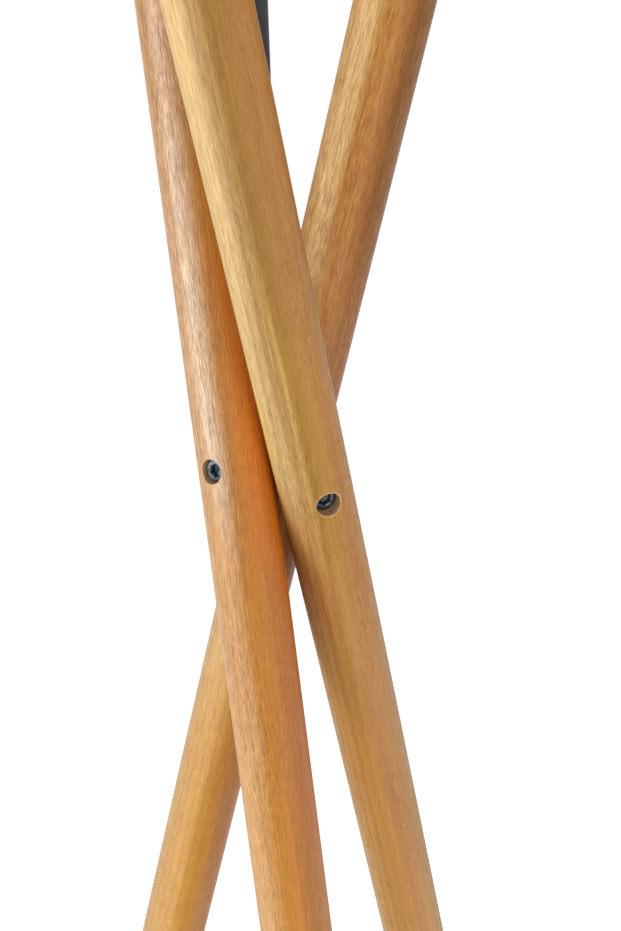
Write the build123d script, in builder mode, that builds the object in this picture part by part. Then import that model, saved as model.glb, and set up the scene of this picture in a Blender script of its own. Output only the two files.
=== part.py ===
from build123d import *
import os
from math import cos, radians, sin, sqrt, tan

os.makedirs("parts", exist_ok=True)

# A kicking dummy made of three round wooden poles that cross like a tripod.
# The poles lie on a ring, each leaning the same way round the upright centre line.
# Two counterbored screws hold the left and right poles to the rear pole.
# All sizes are in millimetres and degrees. The floor is Z = 0.

# Poles
POLE_RADIUS = 25.0
POLE_TILT = 14.54  # lean of every pole from the vertical
FOOT_LENGTH = 930.0  # along a pole, from the crossing down to the floor
TOP_LENGTH = 570.0  # along a pole, from the crossing up to its top
TOP_ROUNDING = 9.0
PASSING_GAP = 1.7  # clear space where two poles pass each other
REAR_AZIMUTH = 78.0  # where each pole passes the centre line, from +X towards +Y
LEFT_AZIMUTH = REAR_AZIMUTH + 120.0
RIGHT_AZIMUTH = REAR_AZIMUTH - 120.0

# Rubber feet, each with a steel disc under the wood
FOOT_RADIUS = 28.5
FOOT_HEIGHT = 52.0  # up the pole
SOLE_THICKNESS = 8.0
SOLE_CHAMFER = 2.0
FOOT_LIP_ROUNDING = 1.5
DISC_RADIUS = 22.0
DISC_THICKNESS = 1.5
GROOVE_DEPTH = 1.2
GROOVE_WIDTH = 3.0
GROOVE_HEIGHTS = (16.0, 24.0, 32.0)  # up the pole, from the floor

# Pivot screws: M10 socket head cap screws, in threaded inserts
SHANK_RADIUS = 5.0
LEFT_SCREW_LENGTH = 50.0
RIGHT_SCREW_LENGTH = 45.0
HEAD_RADIUS = 8.0
HEAD_HEIGHT = 10.0
HEAD_CHAMFER = 0.8
KEY_WIDTH = 8.0
KEY_DEPTH = 5.0
POLE_BORE_RADIUS = SHANK_RADIUS + 0.06  # a turning fit on the shank
COUNTERBORE_RADIUS = 8.3
RIM_ROUNDING = 0.6  # wear round the mouth of a counterbore
LEFT_HEAD_RECESS = 4.6  # from the pole's surface down to the top of the head
RIGHT_HEAD_RECESS = 7.6
HEAD_WASHER_RADIUS = 8.1
HEAD_WASHER_THICKNESS = 1.6
SPACER_RADIUS = 10.0
SPACER_THICKNESS = 1.2
WASHER_HOLE_RADIUS = 5.2
INSERT_RADIUS = 7.0
INSERT_LENGTH = 12.0
INSERT_SINK = 0.7  # below the rear pole's surface
TIP_BORE_RADIUS = 5.3
TIP_BORE_DEPTH = 15.0  # from the rear pole's surface

# Tether: a taut cord behind the crossing, from a screw eye up to a ceiling hook
CORD_X = 2.8  # from the upright centre line
CORD_Y = 80.0
CORD_RADIUS = 5.0
EYE_LEVEL = 25.0  # heights above the crossing
CORD_TOP = 325.0
EYE_RING_RADIUS = 11.0  # to the middle of the wire
EYE_WIRE_RADIUS = 3.0
EYE_THREAD_DEPTH = 32.0
LINK_RING_RADIUS = 8.5
LINK_WIRE_RADIUS = 2.4
LINK_CLEARANCE = 0.1
FERRULE_RADIUS = 6.5
FERRULE_LENGTH = 26.0
FERRULE_BORE_DEPTH = 20.0
FERRULE_ROUNDING = 1.0
HOOK_RING_RADIUS = 8.5
HOOK_WIRE_RADIUS = 2.4
HOOK_ARC = 285.0
HOOK_SHANK_LENGTH = 34.0
HOOK_SHANK_RADIUS = 3.0
HOOK_COLLAR_RADIUS = 6.0
HOOK_COLLAR_THICKNESS = 3.0

# Where the poles cross
tilt = radians(POLE_TILT)
spacing = 2 * POLE_RADIUS + PASSING_GAP
ring_radius = spacing * sqrt(1 + 3 * cos(tilt) ** 2) / (2 * sqrt(3) * cos(tilt))
closest_offset = sqrt(3) * ring_radius * sin(tilt) / (1 + 3 * cos(tilt) ** 2)
crossing_height = FOOT_LENGTH * cos(tilt)


def bearing(azimuth):
    """Level unit vector at an azimuth, from +X towards +Y."""
    return Vector(cos(radians(azimuth)), sin(radians(azimuth)), 0)


def pole_direction(azimuth):
    """Unit vector up a pole, which leans sideways to its own azimuth."""
    return bearing(azimuth - 90) * sin(tilt) + Vector(0, 0, cos(tilt))


def foot_place(azimuth):
    """Level offset of a pole's foot from the centre line."""
    return bearing(azimuth) * ring_radius - bearing(azimuth - 90) * FOOT_LENGTH * sin(tilt)


# The origin is on the floor, in the middle of the box round the three feet.
centre_x = -(foot_place(REAR_AZIMUTH).X + foot_place(RIGHT_AZIMUTH).X) / 2
centre_y = -(foot_place(LEFT_AZIMUTH).Y + foot_place(RIGHT_AZIMUTH).Y) / 2
crossing = Vector(centre_x, centre_y, crossing_height)


def pole_plane(azimuth):
    """Plane square to a pole at the crossing, with its X axis away from the centre line."""
    return Plane(
        origin=crossing + bearing(azimuth) * ring_radius,
        x_dir=bearing(azimuth),
        z_dir=pole_direction(azimuth),
    )


def on_pole(azimuth, distance):
    """Point on a pole's axis, a distance up from the crossing."""
    return crossing + bearing(azimuth) * ring_radius + pole_direction(azimuth) * distance


def pivot_plane(azimuth, distance):
    """Plane on a pole's axis whose Z axis is the pivot, away from the rear pole."""
    inward = pole_direction(azimuth).cross(pole_direction(REAR_AZIMUTH)).normalized()
    towards_rear = on_pole(REAR_AZIMUTH, 0) - on_pole(azimuth, 0)
    outward = -inward if inward.dot(towards_rear) > 0 else inward
    return Plane(origin=on_pole(azimuth, distance), x_dir=pole_direction(azimuth), z_dir=outward)


# Both screws point at the same place along the rear pole. The right one is on the shortest
# line between its poles. The left one is higher up the left pole to match it, so it passes
# a little beside the rear pole's axis.
crossing_cosine = pole_direction(LEFT_AZIMUTH).dot(pole_direction(REAR_AZIMUTH))
left_pivot = pivot_plane(LEFT_AZIMUTH, closest_offset + 2 * closest_offset / crossing_cosine)
right_pivot = pivot_plane(RIGHT_AZIMUTH, -closest_offset)


def pole_blank(azimuth, bottom):
    """Plain pole, cut level at the bottom height and rounded at the top."""
    plane = pole_plane(azimuth)
    with BuildPart() as blank:
        with BuildSketch(plane.offset(-FOOT_LENGTH)):
            Circle(POLE_RADIUS)
        extrude(amount=FOOT_LENGTH + TOP_LENGTH)
        top_edge = blank.edges().filter_by(GeomType.CIRCLE).sort_by(Axis.Z)[-1]
        fillet(top_edge, TOP_ROUNDING)
        split(bisect_by=Plane.XY.offset(bottom), keep=Keep.TOP)
    return blank.part


def head_seat(recess):
    """Distance from a pole's axis out to the floor of its counterbore."""
    return POLE_RADIUS - recess - HEAD_HEIGHT - HEAD_WASHER_THICKNESS


def bored_pole(azimuth, pivot, recess):
    """Pole with a through bore and a counterbore on its pivot."""
    seat = pivot.offset(head_seat(recess))
    with BuildPart() as pole:
        add(pole_blank(azimuth, SOLE_THICKNESS + DISC_THICKNESS))
        with BuildSketch(seat):
            Circle(POLE_BORE_RADIUS)
        extrude(amount=-2 * POLE_RADIUS, mode=Mode.SUBTRACT)
        with BuildSketch(seat):
            Circle(COUNTERBORE_RADIUS)
        extrude(amount=2 * POLE_RADIUS, mode=Mode.SUBTRACT)
        rim = pole.edges(Select.LAST).sort_by(Axis(seat.origin, seat.z_dir))[-1]
        fillet(rim, RIM_ROUNDING)
    return pole


# Left and right poles
left_pole = bored_pole(LEFT_AZIMUTH, left_pivot, LEFT_HEAD_RECESS)
right_pole = bored_pole(RIGHT_AZIMUTH, right_pivot, RIGHT_HEAD_RECESS)

# Rear pole, with blind holes for the inserts, the screw tips and the screw eye
eye_base = on_pole(REAR_AZIMUTH, EYE_LEVEL / cos(tilt))
eye_centre = Vector(centre_x + CORD_X, centre_y + CORD_Y, crossing_height + EYE_LEVEL)
eye_direction = (eye_centre - eye_base).normalized()
eye_reach = (eye_centre - eye_base).length
eye_plane = Plane(origin=eye_base, x_dir=Vector(0, 0, 1), z_dir=eye_direction)

with BuildPart() as rear_pole:
    add(pole_blank(REAR_AZIMUTH, SOLE_THICKNESS + DISC_THICKNESS))
    for pivot in (left_pivot, right_pivot):
        surface = pivot.offset(POLE_RADIUS - spacing)
        with BuildSketch(surface.offset(PASSING_GAP)):
            Circle(INSERT_RADIUS)
        extrude(amount=-(PASSING_GAP + INSERT_SINK + INSERT_LENGTH), mode=Mode.SUBTRACT)
        with BuildSketch(surface):
            Circle(TIP_BORE_RADIUS)
        extrude(amount=-TIP_BORE_DEPTH, mode=Mode.SUBTRACT)
    with BuildSketch(eye_plane.offset(POLE_RADIUS - EYE_THREAD_DEPTH)):
        Circle(EYE_WIRE_RADIUS)
    extrude(amount=2 * POLE_RADIUS, mode=Mode.SUBTRACT)

poles = {"rear": rear_pole, "left": left_pole, "right": right_pole}
azimuths = {"rear": REAR_AZIMUTH, "left": LEFT_AZIMUTH, "right": RIGHT_AZIMUTH}

for side, pole in poles.items():
    pole.part.label = f"{side}_pole"
    export_step(pole.part, f"parts/{side}_pole.step")


# Rubber feet, pushed on over the poles, with a level sole
for side, azimuth in azimuths.items():
    plane = pole_plane(azimuth)
    floor_plane = plane.offset(-FOOT_LENGTH)
    sole_centre = on_pole(azimuth, (SOLE_THICKNESS - crossing_height) / cos(tilt))

    with BuildPart() as foot_disc:
        with BuildSketch(Plane(origin=sole_centre)):
            Circle(DISC_RADIUS)
        extrude(amount=DISC_THICKNESS)
    foot_disc.part.label = f"{side}_foot_disc"
    export_step(foot_disc.part, f"parts/{side}_foot_disc.step")

    with BuildPart() as foot:
        with BuildSketch(floor_plane.offset(-FOOT_RADIUS * tan(tilt))):
            Circle(FOOT_RADIUS)
        extrude(amount=FOOT_RADIUS * tan(tilt) + FOOT_HEIGHT)
        lip = foot.edges().filter_by(GeomType.CIRCLE).sort_by(Axis.Z)[-1]
        fillet(lip, FOOT_LIP_ROUNDING)
        for height in GROOVE_HEIGHTS:
            with BuildSketch(floor_plane.offset(height)):
                Circle(FOOT_RADIUS + GROOVE_WIDTH)
                Circle(FOOT_RADIUS - GROOVE_DEPTH, mode=Mode.SUBTRACT)
            extrude(amount=GROOVE_WIDTH, mode=Mode.SUBTRACT)
        split(bisect_by=Plane.XY, keep=Keep.TOP)
        sole_edge = foot.faces().sort_by(Axis.Z)[0].outer_wire().edges()
        chamfer(sole_edge, SOLE_CHAMFER)
        add(pole_blank(azimuth, SOLE_THICKNESS + DISC_THICKNESS), mode=Mode.SUBTRACT)
        with BuildSketch(Plane(origin=sole_centre)):
            Circle(DISC_RADIUS)
        extrude(amount=DISC_THICKNESS, mode=Mode.SUBTRACT)
    foot.part.label = f"{side}_foot"
    export_step(foot.part, f"parts/{side}_foot.step")


def ring(centre, normal, start, radius, wire_radius, arc=360.0):
    """Round wire bent in a ring about a normal, from a start direction."""
    section = Plane(origin=centre, x_dir=start, z_dir=start.cross(normal))
    with BuildPart() as bent:
        with BuildSketch(section):
            with Locations((radius, 0)):
                Circle(wire_radius)
        revolve(axis=Axis(centre, normal), revolution_arc=arc)
    return bent.part


# Pivot hardware, one set for each side
for side, pivot, recess, screw_length in (
    ("left", left_pivot, LEFT_HEAD_RECESS, LEFT_SCREW_LENGTH),
    ("right", right_pivot, RIGHT_HEAD_RECESS, RIGHT_SCREW_LENGTH),
):
    washer_plane = pivot.offset(head_seat(recess))
    head_plane = washer_plane.offset(HEAD_WASHER_THICKNESS)
    spacer_plane = pivot.offset(-POLE_RADIUS - (PASSING_GAP + SPACER_THICKNESS) / 2)
    insert_plane = pivot.offset(POLE_RADIUS - spacing - INSERT_SINK)

    with BuildPart() as screw:
        with BuildSketch(head_plane):
            Circle(HEAD_RADIUS)
        extrude(amount=HEAD_HEIGHT)
        chamfer(screw.faces().sort_by(Axis(head_plane.origin, head_plane.z_dir))[-1].edges(), HEAD_CHAMFER)
        with BuildSketch(head_plane):
            Circle(SHANK_RADIUS)
        extrude(amount=-screw_length)
        chamfer(screw.faces().sort_by(Axis(head_plane.origin, head_plane.z_dir))[0].edges(), HEAD_CHAMFER)
        with BuildSketch(head_plane.offset(HEAD_HEIGHT)):
            RegularPolygon(KEY_WIDTH / 2, 6, major_radius=False)
        extrude(amount=-KEY_DEPTH, mode=Mode.SUBTRACT)
    screw.part.label = f"{side}_pivot_screw"
    export_step(screw.part, f"parts/{side}_pivot_screw.step")

    with BuildPart() as head_washer:
        with BuildSketch(washer_plane):
            Circle(HEAD_WASHER_RADIUS)
            Circle(WASHER_HOLE_RADIUS, mode=Mode.SUBTRACT)
        extrude(amount=HEAD_WASHER_THICKNESS)
    head_washer.part.label = f"{side}_head_washer"
    export_step(head_washer.part, f"parts/{side}_head_washer.step")

    with BuildPart() as spacer:
        with BuildSketch(spacer_plane):
            Circle(SPACER_RADIUS)
            Circle(WASHER_HOLE_RADIUS, mode=Mode.SUBTRACT)
        extrude(amount=SPACER_THICKNESS)
    spacer.part.label = f"{side}_spacer"
    export_step(spacer.part, f"parts/{side}_spacer.step")

    with BuildPart() as insert:
        with BuildSketch(insert_plane):
            Circle(INSERT_RADIUS)
            Circle(SHANK_RADIUS, mode=Mode.SUBTRACT)
        extrude(amount=-INSERT_LENGTH)
    insert.part.label = f"{side}_threaded_insert"
    export_step(insert.part, f"parts/{side}_threaded_insert.step")


# Screw eye on the back of the rear pole; its ring stands in the plane of the cord
up = Vector(0, 0, 1)
level_across = eye_direction.cross(up).normalized()

with BuildPart() as tether_eye:
    with BuildSketch(eye_plane.offset(POLE_RADIUS - EYE_THREAD_DEPTH)):
        Circle(EYE_WIRE_RADIUS)
    extrude(amount=eye_reach - EYE_RING_RADIUS - POLE_RADIUS + EYE_THREAD_DEPTH)
    add(ring(eye_centre, level_across, eye_direction, EYE_RING_RADIUS, EYE_WIRE_RADIUS))
tether_eye.part.label = "tether_eye"
export_step(tether_eye.part, "parts/tether_eye.step")

# Cord ends: a ring and a ferrule that holds the cord, linked at both ends of the cord
cord_foot = Vector(eye_centre.X, eye_centre.Y, crossing_height)
lower_ring = cord_foot + up * (
    EYE_LEVEL + EYE_RING_RADIUS - EYE_WIRE_RADIUS - LINK_WIRE_RADIUS - LINK_CLEARANCE + LINK_RING_RADIUS
)
ferrule_gap = LINK_RING_RADIUS + FERRULE_LENGTH - FERRULE_BORE_DEPTH
cord_bottom = lower_ring + up * ferrule_gap
cord_top = cord_foot + up * CORD_TOP
upper_ring = cord_top + up * ferrule_gap


def cord_end(centre, away):
    """Ring with a ferrule on the side away from the ring's load."""
    throat = Plane(origin=centre, x_dir=eye_direction, z_dir=away)
    with BuildPart() as end:
        with BuildSketch(throat.offset(LINK_RING_RADIUS)):
            Circle(FERRULE_RADIUS)
        extrude(amount=FERRULE_LENGTH)
        fillet(end.edges().filter_by(GeomType.CIRCLE), FERRULE_ROUNDING)
        add(ring(centre, eye_direction, up, LINK_RING_RADIUS, LINK_WIRE_RADIUS))
        with BuildSketch(throat.offset(ferrule_gap)):
            Circle(CORD_RADIUS)
        extrude(amount=FERRULE_LENGTH, mode=Mode.SUBTRACT)
    return end


lower_cord_end = cord_end(lower_ring, up)
lower_cord_end.part.label = "lower_cord_end"
export_step(lower_cord_end.part, "parts/lower_cord_end.step")

upper_cord_end = cord_end(upper_ring, -up)
upper_cord_end.part.label = "upper_cord_end"
export_step(upper_cord_end.part, "parts/upper_cord_end.step")

with BuildPart() as tether_cord:
    with BuildSketch(Plane(origin=cord_bottom)):
        Circle(CORD_RADIUS)
    extrude(amount=(cord_top - cord_bottom).length)
tether_cord.part.label = "tether_cord"
export_step(tether_cord.part, "parts/tether_cord.step")

# Ceiling hook: an open ring under a collar and a screw shank
hook_centre = upper_ring + up * (
    LINK_RING_RADIUS - LINK_WIRE_RADIUS - HOOK_WIRE_RADIUS - LINK_CLEARANCE + HOOK_RING_RADIUS
)
hook_top = Plane(origin=hook_centre).offset(HOOK_RING_RADIUS)

with BuildPart() as ceiling_hook:
    add(ring(hook_centre, level_across, up, HOOK_RING_RADIUS, HOOK_WIRE_RADIUS, HOOK_ARC))
    with BuildSketch(hook_top):
        Circle(HOOK_COLLAR_RADIUS)
    extrude(amount=HOOK_COLLAR_THICKNESS)
    with BuildSketch(hook_top.offset(HOOK_COLLAR_THICKNESS)):
        Circle(HOOK_SHANK_RADIUS)
    extrude(amount=HOOK_SHANK_LENGTH)
    chamfer(ceiling_hook.faces().sort_by(Axis.Z)[-1].edges(), HOOK_SHANK_RADIUS / 2)
ceiling_hook.part.label = "ceiling_hook"
export_step(ceiling_hook.part, "parts/ceiling_hook.step")


def show(name, point):
    print(f"{name}: {point.X:.2f} {point.Y:.2f} {point.Z:.2f}")


show("crossing", crossing)
show("left pivot", left_pivot.origin)
show("left pivot axis", -left_pivot.z_dir * 1000)
show("right pivot", right_pivot.origin)
show("right pivot axis", -right_pivot.z_dir * 1000)
for side, azimuth in azimuths.items():
    show(f"{side} sole", on_pole(azimuth, -FOOT_LENGTH))
show("cord bottom", cord_bottom)
show("cord top", cord_top)
show("hook top", hook_top.origin)
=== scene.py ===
from math import asin, cos, floor, pi, radians, sin, sqrt, tau
from typing import NamedTuple

import bpy
from mathutils import Euler, Matrix, Vector


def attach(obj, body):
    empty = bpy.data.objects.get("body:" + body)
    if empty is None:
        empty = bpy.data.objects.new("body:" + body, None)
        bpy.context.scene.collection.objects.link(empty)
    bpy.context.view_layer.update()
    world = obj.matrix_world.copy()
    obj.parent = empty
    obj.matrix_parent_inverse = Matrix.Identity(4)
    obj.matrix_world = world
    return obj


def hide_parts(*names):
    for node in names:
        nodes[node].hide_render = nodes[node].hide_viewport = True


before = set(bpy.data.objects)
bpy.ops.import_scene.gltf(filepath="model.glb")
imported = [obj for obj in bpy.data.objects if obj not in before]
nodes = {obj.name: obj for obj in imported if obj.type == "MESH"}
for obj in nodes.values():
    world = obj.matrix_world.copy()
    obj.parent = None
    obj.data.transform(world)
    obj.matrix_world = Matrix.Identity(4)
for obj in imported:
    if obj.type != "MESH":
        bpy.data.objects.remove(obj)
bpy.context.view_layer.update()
scene = bpy.context.scene

# Where part.py puts things, in metres
POLE_RADIUS = 0.025
POLE_TILT = radians(14.54)
RING_RADIUS = 0.03009
CROSSING = Vector((0.02176, 0.03899, 0.90021))
POLE_AZIMUTHS = {"rear": radians(78), "left": radians(198), "right": radians(-42)}
LEFT_PIVOT = Vector((-0.00772, 0.03232, 0.91088))
LEFT_PIVOT_INWARD = Vector((0.66357, 0.73697, -0.12860))
RIGHT_PIVOT = Vector((0.04471, 0.01949, 0.89689))
RIGHT_PIVOT_INWARD = Vector((-0.30645, 0.94316, 0.12860))
CORD_BOTTOM = Vector((0.02456, 0.11899, 0.95371))
CORD_TOP = Vector((0.02456, 0.11899, 1.22521))
CORD_RADIUS = 0.005


# Camera

CAMERA_OFFSET = Vector((-0.02705, -0.84054, 0.33844))
CAMERA_AZIMUTH = radians(3.304)  # from +Y towards +X
CAMERA_PITCH = radians(-21.613)
CAMERA_ROLL = radians(-1.777)

camera_data = bpy.data.cameras.new("camera")
camera_data.lens = 51.67
camera_data.sensor_width = 36
camera_data.clip_start = 0.05
camera_data.clip_end = 200
camera = bpy.data.objects.new("camera", camera_data)
turn = Euler((pi / 2 + CAMERA_PITCH, 0, -CAMERA_AZIMUTH)).to_matrix().to_4x4()
camera.matrix_world = (
    Matrix.Translation(CROSSING + CAMERA_OFFSET) @ turn @ Matrix.Rotation(CAMERA_ROLL, 4, "Z")
)
scene.collection.objects.link(camera)
scene.camera = camera


# Node helpers


def linear(colour):
    """Scene-linear RGBA for an sRGB colour given as three numbers from 0 to 255."""
    out = []
    for value in colour:
        c = value / 255
        out.append(c / 12.92 if c <= 0.04045 else ((c + 0.055) / 1.055) ** 2.4)
    return (*out, 1.0)


class Graph:
    """A new material's node tree, with one short method for each kind of node used here."""

    def __init__(self, name):
        self.material = bpy.data.materials.new(name)
        self.material.use_nodes = True
        self.tree = self.material.node_tree
        self.shader = self.tree.nodes["Principled BSDF"]

    def node(self, kind, **settings):
        n = self.tree.nodes.new(kind)
        for key, value in settings.items():
            setattr(n, key, value)
        return n

    def put(self, socket, value):
        if isinstance(value, bpy.types.NodeSocket):
            self.tree.links.new(value, socket)
        else:
            socket.default_value = value

    def math(self, operation, a, b=0.0, c=0.0):
        n = self.node("ShaderNodeMath", operation=operation)
        for socket, value in zip(n.inputs, (a, b, c)):
            self.put(socket, value)
        return n.outputs[0]

    def vector(self, operation, a, b=(0, 0, 0)):
        n = self.node("ShaderNodeVectorMath", operation=operation)
        self.put(n.inputs[0], a)
        self.put(n.inputs[1], b)
        return n.outputs[0]

    def object_coordinates(self):
        return self.node("ShaderNodeTexCoord").outputs["Object"]

    def local(self, origin, turn):
        """Coordinates about an origin and along the axes of a 3 by 3 rotation matrix."""
        n = self.node("ShaderNodeMapping", vector_type="TEXTURE")
        self.put(n.inputs["Vector"], self.object_coordinates())
        n.inputs["Location"].default_value = origin
        n.inputs["Rotation"].default_value = turn.to_euler()
        return n.outputs[0]

    def noise(self, vector, scale=1.0, detail=2.0, roughness=0.5):
        n = self.node("ShaderNodeTexNoise")
        self.put(n.inputs["Vector"], vector)
        n.inputs["Scale"].default_value = scale
        n.inputs["Detail"].default_value = detail
        n.inputs["Roughness"].default_value = roughness
        return n.outputs["Fac"]

    def steps(self, value, low, high, to_low=0.0, to_high=1.0):
        """Smooth step from to_low at low to to_high at high."""
        n = self.node("ShaderNodeMapRange", interpolation_type="SMOOTHSTEP")
        for socket, x in zip(n.inputs, (value, low, high, to_low, to_high)):
            self.put(socket, x)
        return n.outputs[0]

    def ramp(self, value, stops):
        n = self.node("ShaderNodeValToRGB")
        elements = n.color_ramp.elements
        while len(elements) < len(stops):
            elements.new(0.5)
        for element, (position, _) in zip(elements, stops):
            element.position = position
        for element, (position, colour) in zip(elements, stops):
            element.position = position
            element.color = colour
        self.put(n.inputs[0], value)
        return n.outputs[0]

    def mix(self, factor, a, b, blend="MIX"):
        n = self.node("ShaderNodeMix", data_type="RGBA", blend_type=blend)
        self.put(n.inputs[0], factor)
        self.put(n.inputs[6], a)
        self.put(n.inputs[7], b)
        return n.outputs[2]

    def bump(self, height, distance):
        n = self.node("ShaderNodeBump")
        n.inputs["Distance"].default_value = distance
        self.put(n.inputs["Height"], height)
        return n.outputs[0]

    def finish(self, **sockets):
        for name, value in sockets.items():
            self.put(self.shader.inputs[name.replace("_", " ")], value)
        return self.material


def assign(node_name, material):
    for slot in nodes[node_name].material_slots:
        slot.material = material


# Wood

GLOSS_SHARE = 0.028  # white that the satin surface adds to every colour
EDGE_GLOSS = 0.05  # and what it adds at a pole's edges besides
RIM_HIGHLIGHT_COLOUR = (214, 172, 126)  # pale colour of the painted highlight on the rounded rims of the screw holes
PORE_COLOUR = (84, 44, 18)
BAND_CHANGE = 0.05  # half the length over which one set of bands gives way to the next
BAND_SLANT = 0.25  # how far that place shifts along a pole over a whole turn round it
BOTTOM = -1  # below every pole's lower end
PITH = (-0.043, -0.031, 0)  # middle of the growth rings, beside the pole's own axis
RING_STRETCH = 0.04  # how much slower the rings change along the grain than across it
SKIN_START, SKIN_END = 0.90, 0.985  # where end grain gives way to the surface, as shares of the radius
RIM_INSIDE, RIM_OUTSIDE = (0.0079, 0.0083), (0.0088, 0.0098)  # the painted rim highlight's two edges, from the axis
# how strongly the painted rim highlight covers the wood
RIM_HIGHLIGHT_STRENGTH = 0.75
TINT_POWERS = (0.85, 1.05, 1.3)  # how much darkening changes red, green and blue


class Band(NamedTuple):
    """Colours round one stretch of a pole."""

    end: float  # where the stretch gives way to the next below, along the pole from the waist
    light: tuple  # how bright a white surface looks at the left and right edges
    streaks: tuple  # strength on the left and right halves
    flecks: tuple  # the same
    colours: list  # places across the pole, from 0 at its left edge to 1 at its right, with colours


def bearing(azimuth):
    return Vector((cos(azimuth), sin(azimuth), 0))


def pole_frame(side):
    """Origin on a pole's axis, and the axes towards the front, to the side and up the pole."""
    azimuth = POLE_AZIMUTHS[side]
    along = bearing(azimuth - pi / 2) * sin(POLE_TILT) + Vector((0, 0, cos(POLE_TILT)))
    front = Vector((0, -1, 0))
    front = (front - along * front.dot(along)).normalized()
    across = along.cross(front)
    turn = Matrix((front, across, along)).transposed()
    return CROSSING + bearing(azimuth) * RING_RADIUS, turn


def bare(colour, w, light):
    """Linear colour of the wood itself for a colour as it looks under the studio lights.

    w is the place across the pole, from 0 at the left edge to 1 at the right edge, and light is
    how bright a white surface looks at those two edges."""
    level = light[0] + (light[1] - light[0]) * w
    gloss = GLOSS_SHARE + EDGE_GLOSS * abs(2 * w - 1) ** 5
    return tuple(max(0.006, (c - gloss) / level) for c in linear(colour)[:3]) + (1.0,)


def across_stops(stops, light):
    """Ramp stops for colours placed from 0 at the front view's left edge to 1 at its right edge."""
    out = [(0.5 + asin(2 * w - 1) / tau, bare(colour, w, light)) for w, colour in stops]
    back = tuple((a + b) / 2 for a, b in zip(out[0][1], out[-1][1]))
    return [(0.0, back), *out, (1.0, back)]


def growth_rings(g, local):
    """Thin dark lines of late wood, from -0.65 to 0.35."""
    rings = g.node("ShaderNodeTexWave", wave_type="RINGS", rings_direction="Z", wave_profile="SIN")
    from_pith = g.vector("SUBTRACT", local, PITH)
    g.put(rings.inputs["Vector"], g.vector("MULTIPLY", from_pith, (1, 1, RING_STRETCH)))
    rings.inputs["Scale"].default_value = 62
    rings.inputs["Distortion"].default_value = 6
    rings.inputs["Detail"].default_value = 3
    rings.inputs["Detail Scale"].default_value = 0.9
    return g.math("SUBTRACT", 0.35, g.math("POWER", rings.outputs["Fac"], 3.0))


def blended(g, bands, u, height):
    """Colour, streak strength and fleck strength from a pole's bands, listed from the top down."""
    right_half = g.steps(u, 0.46, 0.53)
    result = None
    for band in reversed(bands):
        colour = g.ramp(u, across_stops(band.colours, band.light))
        streaks = g.steps(right_half, 0, 1, *band.streaks)
        flecks = g.steps(right_half, 0, 1, *band.flecks)
        if result is None:
            result = colour, streaks, flecks
            continue
        above = g.steps(height, band.end - BAND_CHANGE, band.end + BAND_CHANGE)
        result = (
            g.mix(above, result[0], colour),
            g.steps(above, 0, 1, result[1], streaks),
            g.steps(above, 0, 1, result[2], flecks),
        )
    return result


def with_painted_rim_highlight(g, colour, hole, roughening):
    """The colour with a pale ring of painted highlight round a screw hole's rim, given by a point and
    its axis.
    """
    point, direction = hole
    from_point = g.vector("SUBTRACT", g.object_coordinates(), tuple(point))
    from_axis = g.node("ShaderNodeVectorMath", operation="LENGTH")
    g.put(from_axis.inputs[0], g.vector("CROSS_PRODUCT", from_point, tuple(direction)))
    ragged = g.math("MULTIPLY_ADD", roughening, 0.0005, from_axis.outputs["Value"])
    inside, outside = g.steps(ragged, *RIM_INSIDE), g.steps(ragged, *reversed(RIM_OUTSIDE))
    # mask of the painted rim highlight
    pale_tone = g.math("MULTIPLY", outside, inside)
    return g.mix(g.math("MULTIPLY", pale_tone, RIM_HIGHLIGHT_STRENGTH), colour, linear(RIM_HIGHLIGHT_COLOUR))


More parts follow.
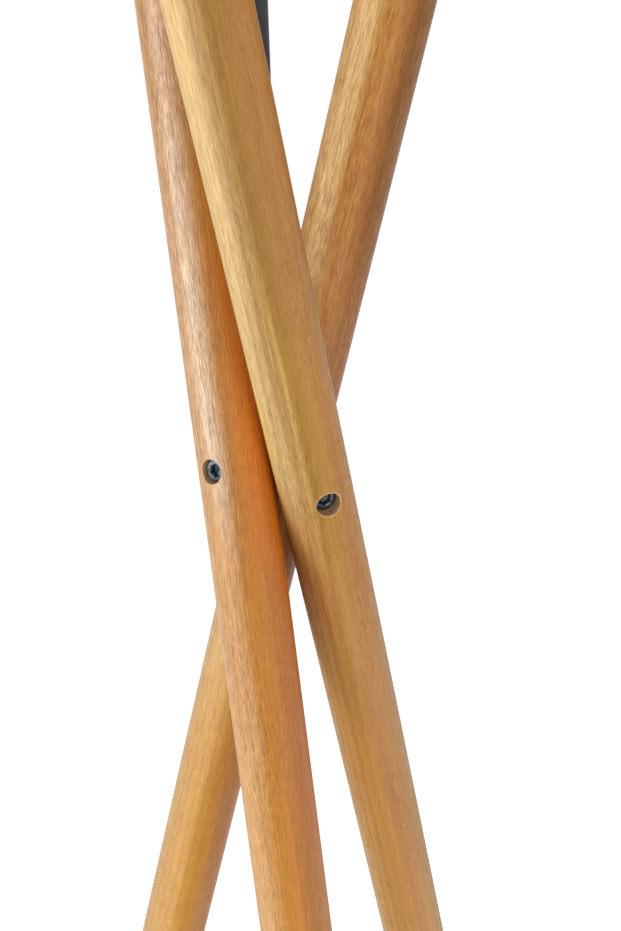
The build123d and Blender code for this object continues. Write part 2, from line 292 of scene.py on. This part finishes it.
def wood(name, side, seed, bands, core_and_hole_shade, hole, growth_lines, pores, gloss, shine, relief, ripple=0.0):
    """Oiled hardwood with long colour bands round the pole, fibres, growth lines and short pores.

    The end grain and the holes' walls take one colour, darkened for the left pole as painted shade in
    its screw hole. hole is a point on the pole's screw and the direction that it points in, round
    which goes a painted rim highlight."""
    g = Graph(name)
    origin, turn = pole_frame(side)
    local = g.local(origin, turn)
    parts = g.node("ShaderNodeSeparateXYZ")
    g.put(parts.inputs[0], local)
    x, y, z = parts.outputs
    shifted = g.vector("ADD", local, (seed, seed * 0.37, seed * 1.9))

    def stretched(wide, long, detail=2.0, roughness=0.5):
        """Noise from -1 to 1, with features 1/wide across the grain and 1/long along it."""
        n = g.noise(g.vector("MULTIPLY", shifted, (wide, wide, long)), 1, detail, roughness)
        return g.math("MULTIPLY_ADD", n, 4.0, -2.0)

    sway = stretched(14, 2.6, 1)
    shiver = stretched(110, 6, 3, 0.6)
    round_pole = g.math("DIVIDE", g.math("ARCTAN2", y, x), tau)
    u = g.math("ADD", round_pole, 0.5)
    u = g.math("MULTIPLY_ADD", sway, 0.010, u)
    u = g.math("MULTIPLY_ADD", shiver, 0.006, u)
    u = g.math("FRACT", u)
    height = g.math("MULTIPLY_ADD", sway, 0.03, z)
    height = g.math("MULTIPLY_ADD", g.math("SUBTRACT", u, 0.5), BAND_SLANT, height)
    across, streaky, flecky = blended(g, bands, u, height)

    streaks = g.math("ADD", stretched(190, 4.5, 2, 0.6), stretched(480, 8, 3, 0.6))
    fleck = g.math("ADD", stretched(820, 85, 1), g.math("MULTIPLY", stretched(1500, 190, 0), 0.6))
    dash = g.noise(g.vector("MULTIPLY", shifted, (1500, 1500, 170)), 1, 1)
    crowd = stretched(55, 9)
    pore = g.math("MULTIPLY", g.steps(dash, 0.57, 0.66), g.steps(crowd, -0.6, 0.6, 0.3, 1.0))

    radius = g.math("SQRT", g.math("ADD", g.math("MULTIPLY", x, x), g.math("MULTIPLY", y, y)))
    skin = g.steps(radius, POLE_RADIUS * SKIN_START, POLE_RADIUS * SKIN_END)
    colour = g.mix(skin, linear(core_and_hole_shade), across)
    if hole:
        # pale ring of painted highlight on the rim of the screw hole
        colour = with_painted_rim_highlight(g, colour, hole, stretched(900, 500, 2))

    tone = g.math("MULTIPLY_ADD", growth_rings(g, local), growth_lines, 1.0)
    tone = g.math("MULTIPLY_ADD", streaks, streaky, tone)
    tone = g.math("MULTIPLY_ADD", fleck, flecky, tone)
    tone = g.math("MAXIMUM", tone, 0.25)
    if ripple:
        tone = g.math("MULTIPLY_ADD", stretched(35, 90), ripple, tone)
    tinted = g.node("ShaderNodeCombineColor")
    for socket, power in zip(tinted.inputs, TINT_POWERS):
        g.put(socket, g.math("POWER", tone, power))
    colour = g.mix(1.0, colour, tinted.outputs[0], "MULTIPLY")
    colour = g.mix(g.math("MULTIPLY", pore, pores), colour, linear(PORE_COLOUR))

    rough = g.math("MULTIPLY_ADD", pore, 0.2, g.steps(fleck, -0.8, 0.8, gloss + 0.08, gloss - 0.06))
    raised = g.math("MULTIPLY_ADD", fleck, 0.4, g.math("MULTIPLY", pore, -0.8))
    return g.finish(
        Base_Color=colour,
        Roughness=rough,
        Normal=g.bump(raised, relief),
        Specular_IOR_Level=shine,
    )


left_wood = wood(
    "left_pole_wood",
    "left",
    3.1,
    bands=[
        Band(
            end=0.20,
            light=(1.12, 0.66),
            streaks=(0.10, 0.05),
            flecks=(0.26, 0.12),
            colours=[
                (0.02, (208, 158, 110)),
                (0.10, (200, 152, 106)),
                # the pale pink from 0.21 to 0.32 is painted highlight, besides the key light's own
                (0.21, (222, 184, 148)),
                (0.32, (206, 166, 130)),
                (0.42, (186, 138, 88)),
                (0.52, (178, 120, 60)),
                (0.98, (176, 116, 66)),
            ],
        ),
        Band(
            end=-0.04,
            light=(1.12, 0.62),
            streaks=(0.10, 0.05),
            flecks=(0.28, 0.10),
            colours=[
                (0.02, (210, 162, 118)),
                (0.11, (209, 164, 122)),
                # the pale pink from 0.22 to 0.31 is painted highlight, besides the key light's own
                (0.22, (228, 196, 164)),
                (0.31, (211, 176, 144)),
                (0.41, (188, 138, 90)),
                (0.51, (180, 119, 57)),
                (0.64, (192, 120, 56)),
                (0.75, (194, 118, 60)),
                (0.98, (182, 114, 62)),
            ],
        ),
        Band(
            end=-0.21,
            light=(1.10, 0.66),
            streaks=(0.08, 0.06),
            flecks=(0.22, 0.10),
            colours=[
                (0.02, (218, 168, 118)),
                (0.12, (210, 158, 104)),
                (0.26, (212, 160, 110)),
                (0.34, (201, 150, 96)),
                (0.44, (190, 126, 60)),
                (0.56, (190, 125, 56)),
                (0.70, (195, 128, 70)),
                (0.82, (178, 114, 62)),
                (0.98, (168, 110, 66)),
            ],
        ),
        Band(
            end=BOTTOM,
            light=(1.10, 0.70),
            streaks=(0.08, 0.06),
            flecks=(0.18, 0.10),
            colours=[
                (0.02, (224, 172, 114)),
                (0.14, (220, 168, 110)),
                (0.26, (208, 154, 94)),
                (0.38, (199, 136, 62)),
                (0.50, (194, 128, 48)),
                (0.62, (200, 130, 62)),
                (0.76, (180, 118, 64)),
                (0.98, (170, 120, 76)),
            ],
        ),
    ],
    # darker than the other poles' end grain: painted shade on the walls of the screw hole
    core_and_hole_shade=(104, 66, 42),
    hole=(LEFT_PIVOT, LEFT_PIVOT_INWARD),
    growth_lines=0.08,
    pores=0.22,
    gloss=0.36,
    shine=0.5,
    relief=0.0002,
)

right_wood = wood(
    "right_pole_wood",
    "right",
    7.7,
    bands=[
        Band(
            end=0.13,
            light=(1.22, 0.78),
            streaks=(0.16, 0.07),
            flecks=(0.16, 0.08),
            colours=[
                (0.02, (234, 198, 138)),
                (0.12, (238, 203, 143)),
                (0.21, (212, 177, 125)),
                (0.31, (190, 152, 100)),
                (0.37, (184, 144, 88)),
                (0.42, (174, 134, 78)),
                (0.50, (162, 120, 64)),
                (0.58, (168, 124, 70)),
                (0.72, (180, 128, 77)),
                (0.86, (180, 130, 80)),
                (0.98, (168, 122, 80)),
            ],
        ),
        Band(
            end=-0.06,
            light=(1.22, 0.80),
            streaks=(0.20, 0.07),
            flecks=(0.16, 0.08),
            colours=[
                (0.02, (236, 201, 136)),
                (0.12, (222, 186, 129)),
                (0.21, (202, 164, 109)),
                (0.30, (190, 148, 92)),
                (0.37, (176, 134, 76)),
                (0.42, (192, 152, 92)),
                (0.48, (172, 124, 54)),
                (0.54, (178, 134, 66)),
                (0.70, (184, 133, 76)),
                (0.86, (183, 130, 80)),
                (0.98, (174, 130, 88)),
            ],
        ),
        Band(
            end=-0.16,
            light=(1.02, 0.78),
            streaks=(0.10, 0.07),
            flecks=(0.12, 0.08),
            colours=[
                # darker at the left edge than above: painted shade where the left pole shades this
                # stretch
                (0.02, (150, 108, 74)),
                (0.12, (164, 118, 74)),
                (0.28, (178, 126, 74)),
                (0.42, (184, 133, 72)),
                (0.52, (186, 138, 80)),
                (0.70, (183, 131, 81)),
                (0.82, (190, 138, 87)),
                (0.98, (168, 134, 96)),
            ],
        ),
        Band(
            end=BOTTOM,
            light=(0.98, 0.78),
            streaks=(0.07, 0.07),
            flecks=(0.08, 0.08),
            colours=[
                (0.02, (187, 148, 98)),
                (0.14, (182, 136, 76)),
                (0.30, (177, 129, 68)),
                (0.46, (180, 131, 71)),
                (0.60, (183, 130, 80)),
                (0.80, (187, 139, 88)),
                (0.98, (163, 131, 92)),
            ],
        ),
    ],
    core_and_hole_shade=(142, 112, 82),
    hole=(RIGHT_PIVOT, RIGHT_PIVOT_INWARD),
    growth_lines=0.14,
    pores=0.2,
    gloss=0.42,
    shine=0.3,
    relief=0.00012,
)

rear_wood = wood(
    "rear_pole_wood",
    "rear",
    12.4,
    bands=[
        Band(
            end=0.13,
            light=(0.95, 0.86),
            streaks=(0.15, 0.08),
            flecks=(0.26, 0.16),
            colours=[
                (0.02, (208, 170, 120)),
                (0.12, (216, 178, 126)),
                (0.27, (200, 160, 108)),
                (0.32, (178, 130, 76)),
                (0.42, (180, 126, 70)),
                (0.52, (181, 127, 77)),
                (0.62, (162, 110, 64)),
                (0.78, (140, 94, 54)),
                (0.98, (145, 108, 82)),
            ],
        ),
        Band(
            end=-0.06,
            light=(0.95, 0.86),
            streaks=(0.12, 0.08),
            flecks=(0.18, 0.14),
            colours=[
                (0.02, (190, 145, 92)),
                (0.28, (202, 160, 112)),
                (0.40, (186, 136, 84)),
                (0.52, (184, 129, 78)),
                (0.62, (181, 127, 80)),
                (0.74, (162, 110, 69)),
                (0.98, (155, 110, 78)),
            ],
        ),
        Band(
            end=-0.22,
            light=(1.07, 0.76),
            streaks=(0.08, 0.06),
            flecks=(0.10, 0.08),
            colours=[
                # lighter near the left edge than the stretches above and below: painted highlight on
                # the wood's yellow
                (0.02, (214, 178, 134)),
                (0.12, (228, 186, 130)),
                (0.30, (218, 172, 114)),
                (0.42, (208, 160, 96)),
                (0.52, (194, 142, 70)),
                (0.64, (186, 130, 62)),
                (0.98, (180, 124, 70)),
            ],
        ),
        Band(
            end=BOTTOM,
            light=(1.07, 0.73),
            streaks=(0.05, 0.06),
            flecks=(0.07, 0.08),
            colours=[
                (0.02, (214, 172, 118)),
                (0.30, (213, 164, 101)),
                (0.42, (198, 147, 76)),
                (0.53, (184, 130, 57)),
                (0.66, (186, 130, 70)),
                (0.80, (172, 122, 78)),
                (0.98, (160, 116, 79)),
            ],
        ),
    ],
    core_and_hole_shade=(150, 108, 68),
    hole=None,
    growth_lines=0.12,
    pores=0.2,
    gloss=0.42,
    shine=0.3,
    relief=0.00012,
    ripple=0.05,
)

for side, material in (("left", left_wood), ("right", right_wood), ("rear", rear_wood)):
    assign(f"{side}_pole", material)


# Metal, rubber and nylon


def dark_steel(name, colour, roughness, pale_tone):
    """Blackened steel with a faint blue cast, cloudy gloss and a paler mottle of fine wear; on the
    screws the lighter, bluer colours are painted highlight.
    """
    g = Graph(name)
    where = g.object_coordinates()
    cloud = g.noise(where, 160, 3)
    grit = g.noise(where, 2600, 2)
    tone = g.steps(g.math("MULTIPLY_ADD", grit, 0.4, cloud), 0.45, 0.95)
    return g.finish(
        Base_Color=g.mix(tone, linear(colour), linear(pale_tone)),
        Metallic=0.85,
        Roughness=g.steps(cloud, 0.3, 0.7, roughness - 0.06, roughness + 0.1),
        Normal=g.bump(grit, 0.00003),
    )


def moulded(name, colour, lighter, roughness, speckle):
    """Rubber or plastic with a fine moulded skin and a little dust in the speckle."""
    g = Graph(name)
    where = g.object_coordinates()
    grain = g.noise(where, speckle, 3)
    dust = g.noise(where, 45, 4, 0.6)
    tone = g.math("MULTIPLY", g.steps(dust, 0.35, 0.75), g.steps(grain, 0.3, 0.7))
    return g.finish(
        Base_Color=g.mix(tone, linear(colour), linear(lighter)),
        Roughness=g.steps(grain, 0.3, 0.7, roughness - 0.08, roughness + 0.1),
        Normal=g.bump(grain, 0.00012),
        Specular_IOR_Level=0.4,
    )


def plated(name, colour, shade, roughness):
    """Bare plated or machined metal with clouded colour."""
    g = Graph(name)
    where = g.object_coordinates()
    cloud = g.noise(where, 220, 3)
    lines = g.noise(g.vector("MULTIPLY", where, (300, 300, 6000)), 1, 1)
    return g.finish(
        Base_Color=g.mix(g.steps(cloud, 0.3, 0.7), linear(colour), linear(shade)),
        Metallic=1.0,
        Roughness=g.steps(cloud, 0.2, 0.8, roughness - 0.05, roughness + 0.1),
        Normal=g.bump(lines, 0.00002),
    )


# lighter and bluer than the washers and wire: painted highlight for the bluish rim glints on the screw
# heads
screw_steel = dark_steel("black_screw_steel", (62, 70, 78), 0.36, (128, 140, 150))
washer_steel = dark_steel("black_washer_steel", (28, 29, 32), 0.45, (52, 54, 58))
wire_steel = dark_steel("black_wire_steel", (34, 35, 38), 0.36, (58, 60, 64))
rubber = moulded("foot_rubber", (24, 24, 25), (48, 46, 44), 0.62, 1400)
nylon = moulded("spacer_nylon", (44, 34, 28), (62, 50, 42), 0.5, 2200)
zinc = plated("zinc_steel", (188, 190, 192), (160, 164, 170), 0.35)
brass = plated("insert_brass", (214, 178, 108), (190, 148, 84), 0.28)

for side in ("rear", "left", "right"):
    assign(f"{side}_foot", rubber)
    assign(f"{side}_foot_disc", zinc)
for side in ("left", "right"):
    assign(f"{side}_head_washer", washer_steel)
    assign(f"{side}_spacer", nylon)
    assign(f"{side}_threaded_insert", brass)
for name in ("tether_eye", "lower_cord_end", "upper_cord_end", "ceiling_hook"):
    assign(name, wire_steel)


# Pivot screws

SCREW_SIDES = 144
KNURL_RIDGES = 48
HEAD_RADIUS = 0.008
HEAD_HEIGHT = 0.010
SHANK_RADIUS = 0.005
KEY_WIDTH = 0.008
KEY_DEPTH = 0.005
THREAD_PITCH = 0.0015
THREAD_DEPTH = 0.0008
THREAD_TOP = -0.018  # where the thread ends, from under the head
RINGS_A_TURN = 5  # of the thread
KNURL_DEPTH = 0.00022
LEFT_RECESS, LEFT_LENGTH = 0.0046, 0.050  # how deep the head is sunk, and the shank's length
RIGHT_RECESS, RIGHT_LENGTH = 0.0076, 0.045


def mesh_object(name, vertices, faces, material, crease=None):
    """Smooth mesh piece, with creases where its faces meet at more than an angle."""
    mesh = bpy.data.meshes.new(name)
    mesh.from_pydata(vertices, [], faces)
    mesh.update()
    mesh.shade_smooth()
    if crease is not None:
        mesh.set_sharp_from_angle(angle=crease)
    mesh.materials.append(material)
    obj = bpy.data.objects.new(name, mesh)
    scene.collection.objects.link(obj)
    return obj


def revolved(name, rings, material, place, sides=SCREW_SIDES, crease=radians(32)):
    """Closed solid from rings of (radius, height), each a number or a function of the angle.

    The first and last rings are single points on the axis."""
    angles = [tau * j / sides for j in range(sides)]
    value = lambda x, angle: x(angle) if callable(x) else x
    vertices = [place @ Vector((0, 0, rings[0][1]))]
    for radius, height in rings[1:-1]:
        for angle in angles:
            r = value(radius, angle)
            vertices.append(place @ Vector((r * cos(angle), r * sin(angle), value(height, angle))))
    vertices.append(place @ Vector((0, 0, rings[-1][1])))
    count = len(rings) - 2
    last = len(vertices) - 1
    faces = []
    for j in range(sides):
        k = (j + 1) % sides
        faces.append((0, 1 + k, 1 + j))
        for i in range(count - 1):
            a, b = 1 + i * sides, 1 + (i + 1) * sides
            faces.append((a + j, a + k, b + k, b + j))
        top = 1 + (count - 1) * sides
        faces.append((top + j, top + k, last))
    return mesh_object(name, vertices, faces, material, crease)


def hexagon(angle):
    """Distance from the middle of the key hole to its wall."""
    sixth = pi / 3
    return KEY_WIDTH / 2 / cos((angle + sixth / 2) % sixth - sixth / 2)


def knurl(angle):
    """Radius of the head's ridged side."""
    ridge = abs((angle * KNURL_RIDGES / tau) % 1 - 0.5) * 2
    return HEAD_RADIUS - KNURL_DEPTH * min(1.0, 1.6 * ridge)


def socket_screw(name, pivot, inward, recess, length):
    """Socket head cap screw whose head is sunk in a pole, at the pivot's place."""
    outward = -inward.normalized()
    under_head = POLE_RADIUS - recess - HEAD_HEIGHT
    turn = outward.to_track_quat("Z", "Y").to_matrix().to_4x4()
    place = Matrix.Translation(pivot + outward * under_head) @ turn
    rings = [
        (0, -length),
        (SHANK_RADIUS - 0.0011, -length),
        (SHANK_RADIUS - 0.0003, 0.0009 - length),
    ]
    height = 0.0011 - length
    while height < THREAD_TOP:
        thread = lambda angle, h=height: SHANK_RADIUS - THREAD_DEPTH * abs(
            ((h / THREAD_PITCH - angle / tau) % 1) * 2 - 1
        )
        rings.append((thread, height))
        height += THREAD_PITCH / RINGS_A_TURN
    rings += [
        (SHANK_RADIUS, THREAD_TOP + 0.0004),
        (SHANK_RADIUS, -0.0003),
        (SHANK_RADIUS + 0.0003, 0.0),
        (HEAD_RADIUS - 0.0004, 0.0),
        (HEAD_RADIUS - 0.0002, 0.0004),
        (knurl, 0.0006),
        (knurl, HEAD_HEIGHT - 0.0012),
        (HEAD_RADIUS - 0.0003, HEAD_HEIGHT - 0.0008),
        (HEAD_RADIUS - 0.0008, HEAD_HEIGHT - 0.0001),
        (HEAD_RADIUS - 0.0010, HEAD_HEIGHT),
        (KEY_WIDTH * 0.62, HEAD_HEIGHT),
        (KEY_WIDTH * 0.60, HEAD_HEIGHT - 0.0001),
        (lambda angle: hexagon(angle) + 0.00005, HEAD_HEIGHT - 0.0006),
        (hexagon, HEAD_HEIGHT - 0.0009),
        (hexagon, HEAD_HEIGHT - KEY_DEPTH),
        (lambda angle: hexagon(angle) * 0.9, HEAD_HEIGHT - KEY_DEPTH - 0.0002),
        (0, HEAD_HEIGHT - KEY_DEPTH - 0.0012),
    ]
    screw = revolved(name, rings, screw_steel, place)
    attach(screw, "rear_leg")
    return screw


left_screw = socket_screw("left_cap_screw", LEFT_PIVOT, LEFT_PIVOT_INWARD, LEFT_RECESS, LEFT_LENGTH)
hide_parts("left_pivot_screw")
right_screw = socket_screw(
    "right_cap_screw", RIGHT_PIVOT, RIGHT_PIVOT_INWARD, RIGHT_RECESS, RIGHT_LENGTH
)
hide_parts("right_pivot_screw")


# Cord

STRANDS = 12  # each way round
STRAND_TURN = 0.040  # along the cord, for one turn of a strand
STRAND_RELIEF = 0.00045


def route_points(points, order=3, resolution=24):
    """Points on the smooth NURBS line of a route."""
    curve = bpy.data.curves.new("route", "CURVE")
    curve.dimensions = "3D"
    spline = curve.splines.new("NURBS")
    spline.points.add(len(points) - 1)
    for p, co in zip(spline.points, points):
        p.co = (*co, 1)
    spline.order_u = order
    spline.use_endpoint_u = True
    spline.resolution_u = resolution
    holder = bpy.data.objects.new("route", curve)
    mesh = bpy.data.meshes.new_from_object(holder)
    line = [v.co.copy() for v in mesh.vertices]
    bpy.data.objects.remove(holder)
    bpy.data.meshes.remove(mesh)
    bpy.data.curves.remove(curve)
    return line


def cord_material():
    g = Graph("cord_braid")
    where = g.object_coordinates()
    fuzz = g.noise(g.vector("MULTIPLY", where, (4000, 4000, 1500)), 1, 2)
    cloud = g.noise(where, 30, 2)
    tone = g.math("MULTIPLY_ADD", fuzz, 0.6, g.math("MULTIPLY", cloud, 0.4))
    return g.finish(
        Base_Color=g.mix(g.steps(tone, 0.3, 0.7), linear((42, 43, 53)), linear((74, 76, 90))),
        Roughness=g.steps(fuzz, 0.3, 0.7, 0.6, 0.8),
        Normal=g.bump(fuzz, 0.0001),
        Sheen_Weight=0.3,
        Sheen_Roughness=0.5,
    )


ROUTE = [CORD_BOTTOM.lerp(CORD_TOP, t) for t in (0, 0.2, 0.8, 1)]
route = route_points(ROUTE)


def braided_cord(name, line, radius, material, rows=420, around=72):
    """Tube along a straight line with an over and under braid of round strands."""
    start, along = line[0], line[-1] - line[0]
    length = along.length
    axis = along.normalized()
    side = axis.orthogonal().normalized()
    other = axis.cross(side)
    vertices = []
    for i in range(rows + 1):
        s = length * i / rows
        for j in range(around):
            angle = tau * j / around
            a = (STRANDS * angle + STRANDS * tau * s / STRAND_TURN) / tau
            b = (STRANDS * angle - STRANDS * tau * s / STRAND_TURN) / tau
            over = (floor(a) + floor(b)) % 2 == 0
            across = (a if over else b) % 1 * 2 - 1
            lift = sqrt(max(0.0, 1 - across * across)) * STRAND_RELIEF
            r = radius - STRAND_RELIEF + lift
            vertices.append(start + axis * s + (side * cos(angle) + other * sin(angle)) * r)
    faces = []
    for i in range(rows):
        for j in range(around):
            k = (j + 1) % around
            faces.append((i * around + j, i * around + k, (i + 1) * around + k, (i + 1) * around + j))
    faces.append(tuple(range(around))[::-1])
    faces.append(tuple(rows * around + j for j in range(around)))
    return mesh_object(name, vertices, faces, material)


cord = braided_cord("tether_braid", route, CORD_RADIUS, cord_material())
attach(cord, "rear_leg")
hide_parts("tether_cord")


# Floor, light and surroundings

FLOOR_RADIUS = 60.0
FLOOR_SIDES = 64
FLOOR_GAP = 0.0005  # below the feet
floor_angles = [tau * i / FLOOR_SIDES for i in range(FLOOR_SIDES)]
floor_points = [
    (FLOOR_RADIUS * cos(angle), FLOOR_RADIUS * sin(angle), -FLOOR_GAP) for angle in floor_angles
]
g = Graph("studio_floor")
tone = g.noise(g.object_coordinates(), 0.7, 2)
floor_material = g.finish(
    Base_Color=g.mix(tone, linear((236, 236, 236)), linear((242, 242, 242))),
    Roughness=0.9,
    Specular_IOR_Level=0.1,
    Emission_Color=(1, 1, 1, 1),
    Emission_Strength=0.68,
)
floor_disc = mesh_object(
    "studio_floor", floor_points, [tuple(range(FLOOR_SIDES))], floor_material
)

world = bpy.data.worlds.new("studio")
scene.world = world
world.use_nodes = True
world.node_tree.nodes["Background"].inputs["Color"].default_value = (1, 1, 1, 1)
world.node_tree.nodes["Background"].inputs["Strength"].default_value = 0.42
scene.view_settings.view_transform = "Standard"


def softbox(name, position, target, width, height, power):
    light = bpy.data.lights.new(name, "AREA")
    light.shape = "RECTANGLE"
    light.size = width
    light.size_y = height
    light.energy = power
    lamp = bpy.data.objects.new(name, light)
    lamp.location = position
    lamp.rotation_euler = (Vector(target) - Vector(position)).to_track_quat("-Z", "Y").to_euler()
    scene.collection.objects.link(lamp)


softbox("key", (-1.75, -0.5, 1.4), (0, 0, 0.95), 0.35, 1.7, 16)
softbox("front", (0.5, -2.6, 2.2), (0, 0, 0.9), 1.6, 1.6, 16)
